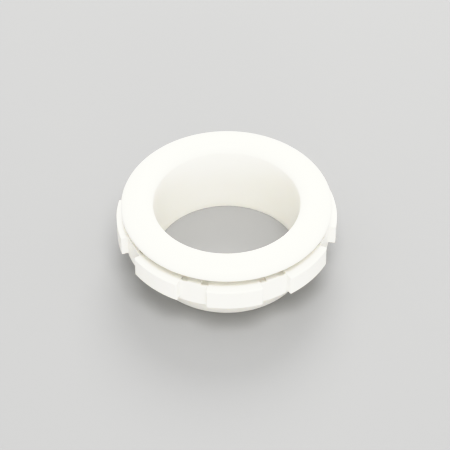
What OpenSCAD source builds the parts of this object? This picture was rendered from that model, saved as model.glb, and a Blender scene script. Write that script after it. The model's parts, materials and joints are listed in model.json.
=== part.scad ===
// Round cable outlet for a desk: a flanged bush through the desk top, held by a castellated lock nut.
// The origin is on the axis, at the lower end of the barrel. +Z points up through the desk.

/* [Flange] */
// Outer diameter of the flange
flange_d = 76; // [70:0.5:90]
// Height of the flange's crown above the barrel's lower end
overall_h = 30.2; // [28:0.1:40]
// Thickness of the flange under its crown
flange_t = 4.9; // [4.6:0.1:6]
// Diameter of the circle where the flange is highest
crown_d = 61.8; // [60:0.2:64]
// Fall of the top from the crown to the flange's widest line
outer_fall = 3.8; // [3:0.1:4]
// Fall of the top from the crown into the straight bore
inner_fall = 3.4; // [2:0.1:4.5]
// Radius of the flange's lower outer edge
lower_edge_r = 0.8; // [0.3:0.1:0.8]

/* [Barrel] */
// Outer diameter of the barrel between its threads
barrel_d = 58.2; // [56:0.1:58.2]
// Diameter of the cable bore
bore_d = 53; // [48:0.5:54]
// Lead-in chamfer at the barrel's lower end
lead_in = 0.6; // [0.2:0.1:1]
// Height of the neck that centres the flange in its hole
neck_h = 0.6; // [0.3:0.1:0.8]

/* [Thread] */
// Travel of the nut in one turn
pitch = 3; // [2.6:0.1:3]
// Height of a thread above the wall that it stands on
thread_depth = 0.65; // [0.4:0.05:0.7]
// Width of a thread where it meets its wall
thread_root_w = 1.5; // [1.2:0.1:1.5]
// Width of a thread at its crest
thread_crest_w = 0.9; // [0.6:0.1:1]
// Radial gap between each crest and the wall facing it
thread_gap = 0.25; // [0.2:0.05:0.4]
// Plain length of the barrel below the thread
pilot_h = 4.8; // [4:0.2:5]
// Whole turns of thread on the barrel
barrel_turns = 6; // [5:1:6]

/* [Nut] */
// Outer diameter over the nut's lugs
lug_d = 79.4; // [77:0.2:84]
// Diameter of the wall between the lugs
hub_d = 74.2; // [72:0.2:76]
// Diameter of the clamping face inside the pockets
rim_d = 65.4; // [64:0.2:67]
// Height of the nut's clamping face above the barrel's lower end
nut_top_z = 22; // [20:0.1:22]
// Height of the lugs
lug_h = 8.2; // [7:0.1:9]
// Depth of the plain collar below the lugs
collar_h = 1.4; // [0.8:0.1:3]
// Number of lugs
lug_count = 8; // [6:1:10]
// Width of one lug, in degrees
lug_deg = 29; // [20:1:32]
// Direction of the first lug, in degrees from +X
first_lug_deg = 4; // [-22:0.5:22]
// Radius of a lug's upper outer edge
upper_edge_r = 0.8; // [0.3:0.1:1.2]
// Radius of a lug's lower outer edge
foot_edge_r = 0.4; // [0.2:0.1:1]

/* [Pockets between the lugs] */
// Width of the rib that parts two pockets, in degrees
rib_deg = 8; // [3:0.5:8]
// Depth of a pocket below the clamping face
pocket_h = 1.2; // [1.1:0.1:5]
// Thickness of the wall outside a pocket
lip_w = 1; // [0.8:0.1:1.5]
// Fall of that wall below the clamping face
lip_fall = 0.5; // [0.2:0.1:1]

/* [Hidden] */

$fn = 96;
// Points along a rounded edge, and stations round one turn of thread
arc_steps = 12;
thread_steps = 36;
// A thread reaches its full height over this angle, and starts at this share of it
fade_deg = 60;
end_rise = 0.4;
// How far a thread is buried in its wall
sink = 0.4;
// Clearances: nut to collar, rib to the faces beside it, and neck over the thread's crest
joint_gap = 0.05;
rib_inset = 0.05;
neck_over_crest = 0.05;
// How far a cut runs past the face it opens
cut_over = 1;

flange_r = flange_d / 2;
crown_r = crown_d / 2;
barrel_r = barrel_d / 2;
bore_r = bore_d / 2;
under_z = overall_h - flange_t;

crest_r = barrel_r + thread_depth;
nut_bore_r = crest_r + thread_gap;
neck_r = crest_r + neck_over_crest;

lug_r = lug_d / 2;
hub_r = hub_d / 2;
rim_r = rim_d / 2;
lug_z = nut_top_z - lug_h;
pocket_z = nut_top_z - pocket_h;
lip_z = nut_top_z - lip_fall;
collar_z = lug_z - collar_h;
lug_pitch_deg = 360 / lug_count;
gap_deg = lug_pitch_deg - lug_deg;

// The nut's thread keeps clear of its two faces, and lies half a pitch from the barrel's thread
nut_thread_z = lug_z + thread_root_w;
nut_thread_end_z = nut_top_z - thread_root_w;
nut_thread_deg = 360 * (nut_thread_z - pilot_h + pitch / 2) / pitch;

// A quarter of an ellipse about [r, z], with half axes a and b, from one angle to another
function arc(r, z, a, b, from, to) =
    [for (i = [0:arc_steps]) let (t = from + (to - from) * i / arc_steps) [r + a * cos(t), z + b * sin(t)]];

// How far a thread stands up at an angle, from its low ends to 1 once it is full
function fade(angle, whole) = min(1, end_rise + min(angle, whole - angle) / fade_deg);

// A thread's four corners at one station, from its buried foot to its crest
function thread_corners(wall_r, out, angle, start_z, whole) =
    let (
        rise = thread_depth * fade(angle, whole),
        slope = (thread_root_w - thread_crest_w) / 2 / thread_depth,
        foot_w = thread_root_w / 2 + slope * sink,
        top_w = thread_root_w / 2 - slope * rise,
        z = start_z + pitch * angle / 360,
        foot = wall_r - out * sink,
        top = wall_r + out * rise,
        across = [[foot, -foot_w], [top, -top_w], [top, top_w], [foot, foot_w]]
    )
    [for (c = across) [c[0] * cos(angle), c[0] * sin(angle), z + c[1]]];

// A right-hand thread on a round wall: out is 1 outside a barrel and -1 inside a nut
module thread(wall_r, out, start_z, end_z, start_deg) {
    whole = 360 * (end_z - start_z) / pitch;
    steps = ceil(whole * thread_steps / 360);
    points = [
        for (i = [0:steps]) each thread_corners(wall_r, out, whole * i / steps, start_z, whole)
    ];
    sides = [
        for (i = [0:steps - 1]) for (k = [0:3])
            let (a = 4 * i + k, b = 4 * i + (k + 1) % 4)
            each [[a, b, b + 4], [a, b + 4, a + 4]]
    ];
    last = 4 * steps;
    ends = [[3, 2, 1], [3, 1, 0], [last, last + 1, last + 2], [last, last + 2, last + 3]];
    faces = out > 0 ? concat(sides, ends) : [for (f = concat(sides, ends)) [f[2], f[1], f[0]]];
    rotate([0, 0, start_deg])
        polyhedron(points = points, faces = faces, convexity = 10);
}

// The flange and barrel in section: crown, bore lip, rounded rim and lead-in
module bush_section() {
    polygon(concat(
        [[bore_r, 0]],
        arc(crown_r, overall_h - inner_fall, crown_r - bore_r, inner_fall, 180, 90),
        arc(crown_r, overall_h - outer_fall, flange_r - crown_r, outer_fall, 90, 0),
        arc(flange_r - lower_edge_r, under_z + lower_edge_r, lower_edge_r, lower_edge_r, 0, -90),
        [
            [neck_r, under_z], [neck_r, under_z - neck_h], [barrel_r, under_z - neck_h],
            [barrel_r, lead_in], [barrel_r - lead_in, 0]
        ]
    ));
}

// The part that passes down through the hole in the desk
module flanged_bush() {
    color("ghostwhite") {
        rotate_extrude()
            bush_section();
        thread(barrel_r, 1, pilot_h, pilot_h + barrel_turns * pitch, 0);
    }
}

// A ring about the axis, between two radii and two heights
module ring(inner_r, outer_r, low_z, high_z) {
    rotate_extrude()
        translate([inner_r, low_z])
            square([outer_r - inner_r, high_z - low_z]);
}

// The nut's ring in section, out to the rounded edges of its lugs
module nut_section() {
    polygon(concat(
        [[nut_bore_r, nut_top_z], [nut_bore_r, lug_z]],
        arc(lug_r - foot_edge_r, lug_z + foot_edge_r, foot_edge_r, foot_edge_r, -90, 0),
        arc(lug_r - upper_edge_r, nut_top_z - upper_edge_r, upper_edge_r, upper_edge_r, 0, 90)
    ));
}

// What a gap takes out of that ring in section: all beyond the hub, the pocket, and the top of the pocket's lip
module gap_section() {
    translate([hub_r, lug_z - cut_over])
        square([lug_r, lug_h + 2 * cut_over]);
    translate([rim_r, lip_z])
        square([lug_r, lip_fall + cut_over]);
    translate([rim_r, pocket_z])
        square([hub_r - lip_w - rim_r, pocket_h + cut_over]);
}

// The rib that parts two pockets in section, from inside the hub up almost to the clamping face
module rib_section() {
    translate([rim_r - cut_over, pocket_z - cut_over])
        square([hub_r - rim_r + cut_over - rib_inset, pocket_h + cut_over - rib_inset]);
}

// Turns a section through some width in the middle of every gap between lugs
module in_gaps(width_deg) {
    for (i = [0:lug_count - 1])
        rotate([0, 0, first_lug_deg + (i + 0.5) * lug_pitch_deg - width_deg / 2])
            rotate_extrude(angle = width_deg)
                children();
}

// The nut's ring, lugs, ribs and thread, above its collar
module lock_nut() {
    color("white") {
        difference() {
            rotate_extrude()
                nut_section();
            in_gaps(gap_deg)
                gap_section();
        }
        in_gaps(rib_deg)
            rib_section();
        thread(nut_bore_r, -1, nut_thread_z, nut_thread_end_z, nut_thread_deg);
    }
}

// The plain collar below the lugs
module lock_nut_collar() {
    color("white")
        ring(nut_bore_r, hub_r, collar_z, lug_z - joint_gap);
}

flanged_bush();
lock_nut();
lock_nut_collar();
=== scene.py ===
"""A round desk grommet in white moulded plastic: a flanged bush and a castellated lock nut on its barrel."""

import json
import math
from itertools import product

import bmesh
import bpy
from mathutils import Matrix, Vector


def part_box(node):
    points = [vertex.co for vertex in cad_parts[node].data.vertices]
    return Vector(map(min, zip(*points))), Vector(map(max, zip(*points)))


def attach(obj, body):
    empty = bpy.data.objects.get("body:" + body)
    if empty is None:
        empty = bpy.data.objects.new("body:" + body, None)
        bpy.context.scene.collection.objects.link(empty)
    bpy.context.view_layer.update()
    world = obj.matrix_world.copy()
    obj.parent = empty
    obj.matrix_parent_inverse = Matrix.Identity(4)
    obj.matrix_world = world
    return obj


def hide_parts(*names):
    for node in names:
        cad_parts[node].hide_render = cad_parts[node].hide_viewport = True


MM = 0.001

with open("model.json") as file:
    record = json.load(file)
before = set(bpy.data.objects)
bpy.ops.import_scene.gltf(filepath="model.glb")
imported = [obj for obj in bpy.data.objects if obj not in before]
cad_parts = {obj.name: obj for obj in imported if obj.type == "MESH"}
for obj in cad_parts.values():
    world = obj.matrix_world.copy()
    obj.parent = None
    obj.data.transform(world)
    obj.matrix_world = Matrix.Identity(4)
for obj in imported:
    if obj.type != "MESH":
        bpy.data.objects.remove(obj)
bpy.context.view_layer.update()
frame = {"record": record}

# ---------------------------------------------------------------- sizes that the frame gives

mounts = {m["name"]: m for m in frame["record"]["mounts"]}
slide_per_radian = frame["record"]["behaviour"]["couplings"][0]["ratio"]
bush_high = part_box("flanged_bush")[1]
collar_low, collar_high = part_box("lock_nut_collar")
nut_low, nut_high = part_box("lock_nut")

BORE_R = mounts["cable_bore"]["dims"]["r_mm"] * MM
SEAT_Z = mounts["flange_seat"]["pos_m"][2]
FLANGE_R = bush_high.x
TOP_Z = bush_high.z
PITCH = slide_per_radian * math.tau

HUB_R = collar_high.x
COLLAR_Z = collar_low.z
LUG_R = nut_high.x
LUG_Z = nut_low.z
NUT_TOP_Z = nut_high.z

# ---------------------------------------------------------------- sizes that the frame doesn't give

# The flange: its crown, how far its top falls away on either side of that, and the edge of its rim
CROWN_R = 30.9 * MM
OUTER_FALL = 3.8 * MM
INNER_FALL = 3.4 * MM
RIM_EDGE = 0.8 * MM
RIM_LAND = 2.2 * MM

# The neck under the flange, which centres it in the desk's hole
NECK_R = 29.8 * MM
NECK_H = 0.6 * MM
NECK_EDGE = 0.15 * MM
NECK_FILLET = 0.3 * MM

# The barrel: its plain pilot below the thread, the lead-in round its foot and the edge of the bore there
BARREL_R = 29.1 * MM
PILOT_H = 4.8 * MM
LEAD_IN = 0.6 * MM
FOOT_EDGE = 0.25 * MM
FOOT_LAND = 0.4 * MM

# The thread. The gap is between the barrel's crests and the nut's plain wall.
THREAD_DEPTH = 0.65 * MM
THREAD_GAP = 0.25 * MM
THREAD_TURNS = 6
NUT_THREAD_TURNS = 2
# At each of its ends a thread grows over this part of a turn, from this part of its depth
FADE_TURNS = 1 / 6
LEAST_RISE = 0.02
# Across one pitch: how far along from its middle, in pitches, and how much of its depth it stands up
THREAD_SHAPE = [
    (-0.50, 0.0), (-0.28, 0.0), (-0.245, 0.07), (-0.17, 0.90), (-0.145, 1.0), (0.0, 1.0),
    (0.145, 1.0), (0.17, 0.90), (0.245, 0.07), (0.28, 0.0),
]

# The nut: its lugs, and in each gap between two of them a rib with a pocket on either side
LUG_COUNT = 8
LUG_DEG = 29
RIB_DEG = 8
FIRST_LUG_DEG = 4
THREAD_START_LUG = 5
POCKET_R = 32.7 * MM
POCKET_H = 1.2 * MM
LIP_W = 1.0 * MM
LIP_FALL = 0.5 * MM
LUG_TOP_ROUNDING = 0.8 * MM
LUG_ROUNDING = 0.5 * MM
POCKET_ROUNDING = 0.2 * MM
FOOT_ROUNDING = 0.35 * MM

# How finely the meshes are cut
BUSH_COLUMNS = 192
BORE_ROWS = 12
ARC_STEPS = 20
LUG_STEPS = 16
POCKET_STEPS = 3
RIB_STEPS = 4
# Extra points this close beside an edge keep the smooth shading on both sides of it clean
BESIDE_EDGE = 0.1 * MM
SHARP_EDGE = math.radians(25)

# From the middle of the floor to its sides, in metres
FLOOR_REACH = 3

# The camera: a long lens, aimed a little above the foot of the axis
LENS_MM = 181.9
CAMERA_DISTANCE = 22 * FLANGE_R
CAMERA_ELEVATION = math.radians(45.28)
CAMERA_PAN = math.radians(0.0431)
CAMERA_TILT = math.radians(0.7871)
CAMERA_ROLL = math.radians(-0.23)

# How bright the light is against how bright it looks, up to the brightest light, which looks white
BRIGHTEST = 2.0
TONES = [(0.25, 0.25), (0.50, 0.50), (0.70, 0.70), (0.85, 0.83), (1.0, 0.91), (1.2, 0.96), (1.5, 0.985)]
# Bright light against how much of it blue keeps, which makes the brightest white a creamy one
BLUE_LIGHT = [(0.35, 0.35), (0.70, 0.70), (1.0, 0.97), (1.3, 1.08)]
BRIGHTEST_BLUE = 1.17


# ---------------------------------------------------------------- mesh building

def arc(r, z, a, b, start, end, steps=ARC_STEPS):
    """Points along a quarter of an ellipse about (r, z), from one angle to another, in degrees."""
    angles = [math.radians(start + (end - start) * i / steps) for i in range(steps + 1)]
    return [(r + a * math.cos(t), z + b * math.sin(t)) for t in angles]


def polar(r, angle, z):
    return Vector((r * math.cos(angle), r * math.sin(angle), z))


def ring(bm, angles, r, z):
    return [bm.verts.new(polar(r, a, z)) for a in angles]


def bridge(bm, lower, upper):
    """A band of quads between two rings."""
    for i in range(len(lower)):
        j = (i + 1) % len(lower)
        bm.faces.new((lower[i], lower[j], upper[j], upper[i]))


def revolve(bm, angles, profile):
    """Rings along a profile, joined one to the next. Returns the first and the last."""
    rings = [ring(bm, angles, r, z) for r, z in profile]
    for lower, upper in zip(rings, rings[1:]):
        bridge(bm, lower, upper)
    return rings[0], rings[-1]


def threaded_wall(bm, angles, lower, upper, wall_r, out, start_z, turns):
    """A round wall with a right-hand thread on it, joined to the rings below and above it.

    Each row of its grid climbs one pitch a turn, so row j ends where row j + (rows in a pitch) begins.
    """
    rows = [(k + along, rise) for k in range(turns) for along, rise in THREAD_SHAPE]
    rows.append((turns - 0.5, 0.0))
    per_turn = len(THREAD_SHAPE)

    def point(row, i):
        along, rise = row
        wound = (angles[i] - angles[0]) / math.tau
        turn = math.floor(along + 0.5) + wound
        fade = min(1.0, LEAST_RISE + min(turn, turns - turn) / FADE_TURNS)
        z = start_z + PITCH * (along + wound)
        return polar(wall_r + out * THREAD_DEPTH * rise * fade, angles[i], z)

    grid = [[bm.verts.new(point(row, i)) for i in range(len(angles))] for row in rows]
    last = len(angles) - 1
    for j in range(len(rows) - 1):
        for i in range(last):
            bm.faces.new((grid[j][i], grid[j][i + 1], grid[j + 1][i + 1], grid[j + 1][i]))
    for j in range(len(rows) - 1 - per_turn):
        bm.faces.new((grid[j][last], grid[j + per_turn][0], grid[j + per_turn + 1][0], grid[j + 1][last]))
    bottom, top = grid[0], grid[-1]
    for i in range(last):
        bm.faces.new((lower[i], lower[i + 1], bottom[i + 1], bottom[i]))
        bm.faces.new((top[i], top[i + 1], upper[i + 1], upper[i]))
    # The grid's first and last rows each end a pitch above where they began, and one face closes that step
    first_step = [grid[j][0] for j in range(per_turn + 1)]
    last_step = [grid[j][last] for j in range(len(rows) - 1 - per_turn, len(rows))]
    bm.faces.new([lower[last], lower[0], *first_step, bottom[last]])
    bm.faces.new([upper[0], upper[last], *reversed(last_step), top[0]])


def finish_mesh(bm, name):
    """Turns faces outward, shades them smooth and makes the object."""
    bmesh.ops.recalc_face_normals(bm, faces=bm.faces)
    for face in bm.faces:
        face.smooth = True
    mesh = bpy.data.meshes.new(name)
    bm.to_mesh(mesh)
    bm.free()
    piece = bpy.data.objects.new(name, mesh)
    bpy.context.scene.collection.objects.link(piece)
    return piece


# ---------------------------------------------------------------- the flanged bush

def foot_profile():
    """From the bottom of the thread, down the pilot and round the lead-in to the flat of the foot.

    A short facet softens each of the lead-in's two edges.
    """
    return [
        (BARREL_R, PILOT_H - PITCH * 0.5 - BESIDE_EDGE),
        (BARREL_R, LEAD_IN + BESIDE_EDGE),
        (BARREL_R - BESIDE_EDGE * 0.5, LEAD_IN - BESIDE_EDGE * 0.5),
        (BARREL_R - LEAD_IN + BESIDE_EDGE * 1.2, BESIDE_EDGE * 0.6),
        (BARREL_R - LEAD_IN - BESIDE_EDGE, 0.0),
        (BORE_R + FOOT_EDGE + FOOT_LAND, 0.0),
    ]


def bore_profile():
    """From the flat of the foot, up the bore to where the flange begins to turn over."""
    height = TOP_Z - INNER_FALL - FOOT_EDGE
    walls = [(BORE_R, FOOT_EDGE + height * i / BORE_ROWS) for i in range(1, BORE_ROWS)]
    return arc(BORE_R + FOOT_EDGE, FOOT_EDGE, FOOT_EDGE, FOOT_EDGE, 270, 180, steps=4) + walls


def flange_profile():
    """Over the crown, round the rim and along the seat to the neck."""
    inner = arc(CROWN_R, TOP_Z - INNER_FALL, CROWN_R - BORE_R, INNER_FALL, 180, 90)
    outer = arc(CROWN_R, TOP_Z - OUTER_FALL, FLANGE_R - CROWN_R, OUTER_FALL, 90, 0)[1:]
    rim = arc(FLANGE_R - RIM_EDGE, SEAT_Z + RIM_EDGE, RIM_EDGE, RIM_EDGE, 0, -90, steps=6)
    return inner + outer + rim + [(FLANGE_R - RIM_LAND, SEAT_Z), (NECK_R + NECK_FILLET, SEAT_Z)]


def neck_profile():
    """Down the neck from the seat, and in to the top of the thread."""
    neck_z = SEAT_Z - NECK_H
    fillet = arc(NECK_R + NECK_FILLET, SEAT_Z - NECK_FILLET, NECK_FILLET, NECK_FILLET, 90, 180, steps=4)[1:]
    edge = arc(NECK_R - NECK_EDGE, neck_z + NECK_EDGE, NECK_EDGE, NECK_EDGE, 0, -90, steps=3)
    return fillet + edge + [(BARREL_R + BESIDE_EDGE, neck_z), (BARREL_R, neck_z - BESIDE_EDGE)]


def make_bush():
    bm = bmesh.new()
    angles = [math.tau * i / BUSH_COLUMNS for i in range(BUSH_COLUMNS)]
    profile = foot_profile() + bore_profile() + flange_profile() + neck_profile()
    lower, upper = revolve(bm, angles, profile)
    threaded_wall(bm, angles, lower, upper, BARREL_R, 1, PILOT_H, THREAD_TURNS)
    return finish_mesh(bm, "bush_moulding")


# ---------------------------------------------------------------- the lock nut

# The nut's cells: rings counted out from the bore, and layers counted up from the collar's foot
NUT_RINGS = ["inner", "pocket", "lip", "lug"]
NUT_LAYERS = ["collar", "body", "pocket", "top"]


def nut_columns():
    """The angle of every column round the nut, and what begins there: a lug, a pocket or a rib.

    The columns start where two turns of thread that match the barrel's just fit between the nut's faces.
    """
    gap = 360 / LUG_COUNT - LUG_DEG
    side = (gap - RIB_DEG) / 2
    pocket = ("pocket", side, POCKET_STEPS)
    spans = [("lug", LUG_DEG, LUG_STEPS), pocket, ("rib", RIB_DEG, RIB_STEPS), pocket]
    angles, kinds = [], []
    for k in range(THREAD_START_LUG, THREAD_START_LUG + LUG_COUNT):
        at = FIRST_LUG_DEG - LUG_DEG / 2 + k * 360 / LUG_COUNT
        for kind, width, steps in spans:
            for i in range(steps):
                angles.append(math.radians(at + width * i / steps))
                kinds.append(kind)
            at += width
    return angles, kinds


def is_plastic(kind, ring_name, layer):
    """Is this cell of the nut plastic?"""
    if ring_name == "lug":
        return kind == "lug" and layer != "collar"
    if kind != "pocket" or ring_name == "inner" or layer in ("collar", "body"):
        return True
    return ring_name == "lip" and layer == "pocket"


def nut_walls(bm, angles, kinds, radii, heights):
    """A face wherever plastic meets air, but none on the bore.

    Returns the corners by column, radius and height.
    """
    count = len(angles)
    corners = {}

    def solid(i, j, k):
        inside = 0 <= j < len(NUT_RINGS) and 0 <= k < len(NUT_LAYERS)
        return inside and is_plastic(kinds[i % count], NUT_RINGS[j], NUT_LAYERS[k])

    def corner(i, j, k):
        key = (i % count, j, k)
        if key not in corners:
            corners[key] = bm.verts.new(polar(radii[j], angles[i % count], heights[k]))
        return corners[key]

    def face(*keys):
        bm.faces.new([corner(*key) for key in keys])

    for i, j, k in product(range(count), range(len(NUT_RINGS)), range(len(NUT_LAYERS))):
        if not solid(i, j, k):
            continue
        if not solid(i, j + 1, k):
            face((i, j + 1, k), (i + 1, j + 1, k), (i + 1, j + 1, k + 1), (i, j + 1, k + 1))
        if j and not solid(i, j - 1, k):
            face((i, j, k), (i, j, k + 1), (i + 1, j, k + 1), (i + 1, j, k))
        for level, step in ((k, -1), (k + 1, 1)):
            if not solid(i, j, k + step):
                face((i, j, level), (i, j + 1, level), (i + 1, j + 1, level), (i + 1, j, level))
        for column, step in ((i, -1), (i + 1, 1)):
            if not solid(i + step, j, k):
                face((column, j, k), (column, j + 1, k), (column, j + 1, k + 1), (column, j, k + 1))
    return corners


def edge_rounding(edge):
    """How much an edge of the nut is rounded: a lug's top the most, the pockets least."""
    middle = (edge.verts[0].co + edge.verts[1].co) / 2
    radius = math.hypot(middle.x, middle.y)
    hair = 0.05 * MM
    on_lug_face = radius > LUG_R - 0.5 * MM
    if on_lug_face and middle.z > NUT_TOP_Z - hair:
        return LUG_TOP_ROUNDING
    if radius > HUB_R + hair:
        return LUG_ROUNDING
    if middle.z < LUG_Z + hair:
        return FOOT_ROUNDING
    return POCKET_ROUNDING


def mark_sharp_edges(bm):
    """Gives each sharp edge its share of the bevel."""
    bmesh.ops.recalc_face_normals(bm, faces=bm.faces)
    share = bm.edges.layers.float.new("bevel_weight_edge")
    for edge in bm.edges:
        if len(edge.link_faces) == 2 and edge.calc_face_angle() > SHARP_EDGE:
            edge[share] = edge_rounding(edge) / LUG_TOP_ROUNDING


def nut_thread_start(first_angle):
    """The lowest height above the collar's foot where the nut's thread runs midway between the barrel's."""
    between_threads = PILOT_H + PITCH * (first_angle / math.tau + 0.5)
    lowest = COLLAR_Z + PITCH * 0.5 + BESIDE_EDGE
    return between_threads + PITCH * math.ceil((lowest - between_threads) / PITCH)


def round_edges(piece):
    bevel = piece.modifiers.new("edge_rounding", "BEVEL")
    bevel.limit_method = "WEIGHT"
    bevel.width = LUG_TOP_ROUNDING
    bevel.segments = 5
    bevel.use_clamp_overlap = True
    shading = piece.modifiers.new("flat_faces", "WEIGHTED_NORMAL")
    shading.keep_sharp = True


def make_nut():
    bm = bmesh.new()
    angles, kinds = nut_columns()
    bore_r = BARREL_R + THREAD_DEPTH + THREAD_GAP
    radii = [bore_r, POCKET_R, HUB_R - LIP_W, HUB_R, LUG_R]
    heights = [COLLAR_Z, LUG_Z, NUT_TOP_Z - POCKET_H, NUT_TOP_Z - LIP_FALL, NUT_TOP_Z]
    corners = nut_walls(bm, angles, kinds, radii, heights)
    mark_sharp_edges(bm)
    lower = [corners[i, 0, 0] for i in range(len(angles))]
    upper = [corners[i, 0, len(heights) - 1] for i in range(len(angles))]
    threaded_wall(bm, angles, lower, upper, bore_r, -1, nut_thread_start(angles[0]), NUT_THREAD_TURNS)
    piece = finish_mesh(bm, "nut_moulding")
    round_edges(piece)
    return piece


# ---------------------------------------------------------------- materials

def noise(tree, place, scale, detail):
    """Noise over the object's own space, where the scale is about how many features there are to a metre."""
    node = tree.nodes.new("ShaderNodeTexNoise")
    node.inputs["Scale"].default_value = scale
    node.inputs["Detail"].default_value = detail
    tree.links.new(place, node.inputs["Vector"])
    return node.outputs["Fac"]


def spread(tree, value, low, high):
    """A value from 0 to 1 spread from low to high."""
    node = tree.nodes.new("ShaderNodeMapRange")
    node.clamp = False
    node.inputs["To Min"].default_value = low
    node.inputs["To Max"].default_value = high
    tree.links.new(value, node.inputs["Value"])
    return node.outputs["Result"]


def bump(tree, height, strength, distance):
    node = tree.nodes.new("ShaderNodeBump")
    node.inputs["Strength"].default_value = strength
    node.inputs["Distance"].default_value = distance
    tree.links.new(height, node.inputs["Height"])
    return node


def moulded_plastic(name, tint, roughness, grain):
    """Glossy moulded plastic: faint clouding of colour and gloss, and a skin that isn't quite flat."""
    material = bpy.data.materials.new(name)
    material.use_nodes = True
    tree = material.node_tree
    shader = tree.nodes["Principled BSDF"]
    place = tree.nodes.new("ShaderNodeTexCoord").outputs["Object"]

    clouded = [0.95 * c for c in tint]
    colour = tree.nodes.new("ShaderNodeMix")
    colour.data_type = "RGBA"
    colour.inputs["A"].default_value = (*tint, 1)
    colour.inputs["B"].default_value = (*clouded, 1)
    tree.links.new(noise(tree, place, scale=60, detail=3), colour.inputs["Factor"])
    tree.links.new(colour.outputs["Result"], shader.inputs["Base Color"])

    gloss = noise(tree, place, scale=220, detail=2)
    tree.links.new(spread(tree, gloss, roughness - 0.08, roughness + 0.08), shader.inputs["Roughness"])

    skin = bump(tree, noise(tree, place, scale=1500, detail=4), strength=0.35, distance=grain)
    waves = bump(tree, noise(tree, place, scale=90, detail=1), strength=0.5, distance=0.05 * MM)
    tree.links.new(skin.outputs["Normal"], waves.inputs["Normal"])
    tree.links.new(waves.outputs["Normal"], shader.inputs["Normal"])

    shader.inputs["IOR"].default_value = 1.49
    shader.inputs["Subsurface Weight"].default_value = 0.12
    shader.inputs["Subsurface Radius"].default_value = (1.0, 0.8, 0.55)
    shader.inputs["Subsurface Scale"].default_value = 1.2 * MM
    return material


def bush_plastic():
    return moulded_plastic("bush_plastic_white", (0.975, 0.957, 0.888), roughness=0.32, grain=0.01 * MM)


def nut_plastic():
    return moulded_plastic("nut_plastic_white", (0.97, 0.952, 0.883), roughness=0.35, grain=0.012 * MM)


def floor_paint():
    material = bpy.data.materials.new("pale_floor")
    material.use_nodes = True
    shader = material.node_tree.nodes["Principled BSDF"]
    shader.inputs["Base Color"].default_value = (0.335, 0.335, 0.333, 1)
    shader.inputs["Roughness"].default_value = 0.7
    return material


# ---------------------------------------------------------------- floor, light and camera

def make_floor():
    bm = bmesh.new()
    bmesh.ops.create_grid(bm, x_segments=1, y_segments=1, size=FLOOR_REACH)
    floor = finish_mesh(bm, "floor")
    floor.data.materials.append(floor_paint())


def softbox(name, place, size, watts):
    """A round soft light that faces the origin."""
    light = bpy.data.lights.new(name, "AREA")
    light.shape = "DISK"
    light.size = size
    light.energy = watts
    lamp = bpy.data.objects.new(name, light)
    lamp.location = place
    lamp.rotation_mode = "QUATERNION"
    lamp.rotation_quaternion = (-Vector(place)).to_track_quat("-Z", "Y")
    bpy.context.scene.collection.objects.link(lamp)


def make_lights():
    softbox("key", (0.20, -0.95, 2.60), size=1.6, watts=56)
    softbox("back", (0.10, 0.85, 0.75), size=0.7, watts=7)
    softbox("front", (0.12, -1.30, 0.18), size=0.5, watts=4)
    world = bpy.data.worlds.new("room")
    world.use_nodes = True
    sky = world.node_tree.nodes["Background"]
    sky.inputs["Color"].default_value = (1.0, 0.995, 0.985, 1)
    sky.inputs["Strength"].default_value = 0.92
    bpy.context.scene.world = world


def soften_highlights():
    """Tones stay true up to a light grey, then ease towards a creamy white, so the plastic keeps its form."""
    view = bpy.context.scene.view_settings
    view.view_transform = "Standard"
    view.use_curve_mapping = True
    mapping = view.curve_mapping
    mapping.white_level = (BRIGHTEST, BRIGHTEST, BRIGHTEST)
    blue, all_three = mapping.curves[2], mapping.curves[3]
    blue.points[1].location = (1.0, BRIGHTEST_BLUE / BRIGHTEST)
    for light, kept in BLUE_LIGHT:
        blue.points.new(light / BRIGHTEST, kept / BRIGHTEST)
    for light, tone in TONES:
        all_three.points.new(light / BRIGHTEST, tone)
    mapping.update()


def make_camera():
    """Looks at the foot of the axis, then turns so that the foot sits a little low in the frame."""
    data = bpy.data.cameras.new("camera")
    data.lens = LENS_MM
    data.clip_start = 0.01
    camera = bpy.data.objects.new("camera", data)
    bpy.context.scene.collection.objects.link(camera)
    facing = Matrix.Rotation(math.pi / 2 - CAMERA_ELEVATION, 4, "X")
    pan = Matrix.Rotation(CAMERA_PAN, 4, "Y")
    tilt = Matrix.Rotation(CAMERA_TILT, 4, "X")
    roll = Matrix.Rotation(CAMERA_ROLL, 4, "Z")
    camera.matrix_world = facing @ pan @ tilt @ roll
    camera.location = Vector((0, -math.cos(CAMERA_ELEVATION), math.sin(CAMERA_ELEVATION))) * CAMERA_DISTANCE
    bpy.context.scene.camera = camera


# ---------------------------------------------------------------- the scene

bush = make_bush()
bush.data.materials.append(bush_plastic())
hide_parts("flanged_bush")
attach(bush, "bush")

nut = make_nut()
nut.data.materials.append(nut_plastic())
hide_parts("lock_nut", "lock_nut_collar")
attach(nut, "nut")

make_floor()
make_lights()
soften_highlights()
make_camera()
